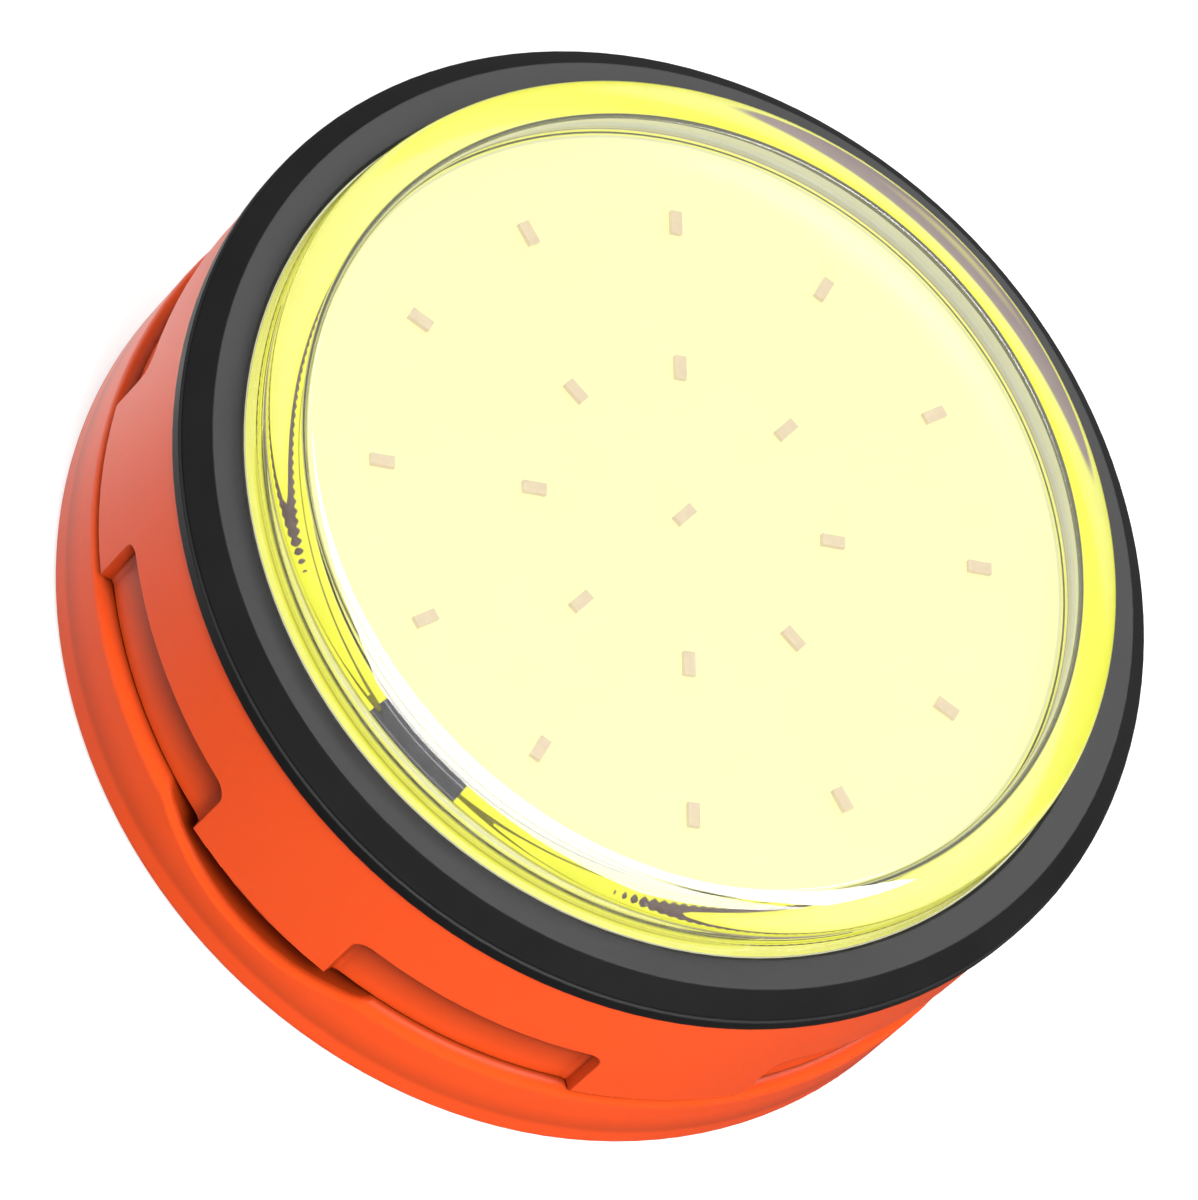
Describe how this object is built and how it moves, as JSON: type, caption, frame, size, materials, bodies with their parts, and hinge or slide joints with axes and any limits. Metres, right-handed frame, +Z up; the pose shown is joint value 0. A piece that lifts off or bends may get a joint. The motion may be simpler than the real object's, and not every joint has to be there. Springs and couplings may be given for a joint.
{
  "type": "led safety flare",
  "caption": "Round puck-shaped road warning light: clear flat lens over a lit board, grip housing with finger pockets, and a magnetic base with a folding hanging hook.",
  "frame": {"origin": "middle of the base, on the plane of its standing ring", "axes": "+Z up from the magnet to the lens, -Y towards the thumb notch and the hook's hinge, +X towards the button"},
  "size_m": [0.105, 0.105, 0.0417],
  "materials": {
    "orange_shell": "fine satin moulding, slightly soft edges",
    "black_plastic": "satin moulding",
    "clear_lens": "clear polished polycarbonate",
    "yellow_gasket": "translucent silicone, lit from inside",
    "lit_board": "white solder mask under full light",
    "led_package": "phosphor under clear resin",
    "aluminium_plate": "plain sheet",
    "seal_rubber": "smooth",
    "button_rubber": "soft moulding",
    "inner_plastic": "plain moulding",
    "plated_steel": "nickel plated",
    "ferrite": "ground magnet face",
    "screw_steel": "zinc plated",
    "contact_steel": "nickel plated spring strip",
    "header_brass": "plated pins in a black bar",
    "circuit_board": "solder mask on glass laminate",
    "component_black": "moulded component bodies",
    "cell_can": "plain sleeve with bare metal ends"
  },
  "bodies": {
    "base_unit": {"base_cap": "orange_shell", "base_seal": "seal_rubber", "magnet_cup": "plated_steel", "magnet_disc": "ferrite", "magnet_screw": "screw_steel", "hook_pin": "screw_steel", "button_retainer": "inner_plastic", "retainer_screws": "screw_steel"},
    "hook": {"hanging_hook": "black_plastic"},
    "button": {"button_pad": "button_rubber", "button_stem": "inner_plastic"},
    "light_unit": {"housing": "orange_shell", "bezel_ring": "black_plastic", "lens": "clear_lens", "lens_gasket": "yellow_gasket", "heat_plate": "aluminium_plate", "led_board": "lit_board", "led_chips": "led_package", "plate_screws": "screw_steel", "board_header": "header_brass", "driver_board": "circuit_board", "driver_parts": "component_black", "battery_tray": "inner_plastic", "tray_screws": "screw_steel", "battery_cells": "cell_can", "contact_plates": "contact_steel", "contact_springs": "contact_steel", "switch_board": "circuit_board", "tact_switch": "component_black", "switch_screws": "screw_steel"}
  },
  "joints": [
    {"name": "light_lift", "type": "slide", "parent": "base_unit", "child": "light_unit", "axis": [0, 0, 1], "range_m": [0, 0.03]},
    {"name": "hook_hinge", "type": "hinge", "parent": "base_unit", "child": "hook", "pos_m": [0, -0.029, 0.0026], "axis": [-1, 0, 0], "range_deg": [0, 110]},
    {"name": "button_press", "type": "slide", "parent": "base_unit", "child": "button", "axis": [0, 0, 1], "range_m": [0, 0.001], "stiffness_N_per_m": 1500}
  ]
}
